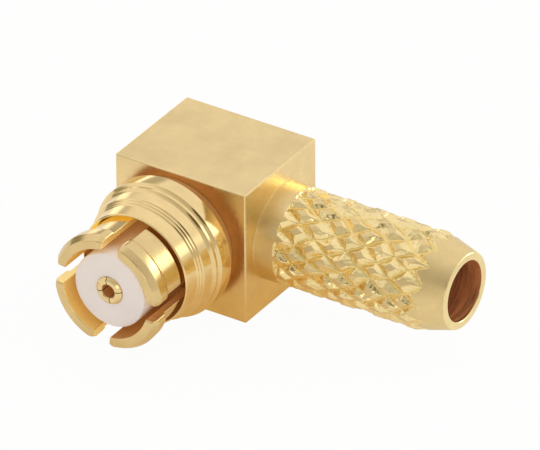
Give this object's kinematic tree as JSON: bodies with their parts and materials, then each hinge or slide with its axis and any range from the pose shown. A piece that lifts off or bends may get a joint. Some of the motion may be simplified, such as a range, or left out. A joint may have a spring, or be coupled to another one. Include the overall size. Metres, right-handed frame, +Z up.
{
  "type": "smp connector",
  "caption": "Right-angle coaxial SMP socket in gold: spring fingers and a grooved collar on a square block, with a knurled crimp stem for thin cable at the side.",
  "frame": {"origin": "on the block's bottom face, straight below the crossing of the socket's axis and the stem's axis", "axes": "+Z up through the block, -Y out of the socket, +X along the crimp stem towards the cable"},
  "size_m": [0.01, 0.007, 0.004],
  "materials": {
    "satin_gold": "satin gold plating",
    "bright_gold": "bright gold plating, turned",
    "contact_gold": "bright gold plating",
    "knurl_gold": "gold plating over a diamond knurl",
    "white_insulator": "matte off-white fluoropolymer"
  },
  "bodies": {
    "root": {"body_block": "satin_gold", "grooved_collar": "bright_gold", "outer_contact": "bright_gold", "front_insulator": "white_insulator", "center_contact": "contact_gold", "insulating_disc": "white_insulator", "rear_cap": "satin_gold", "crimp_stem": "knurl_gold"}
  },
  "joints": []
}
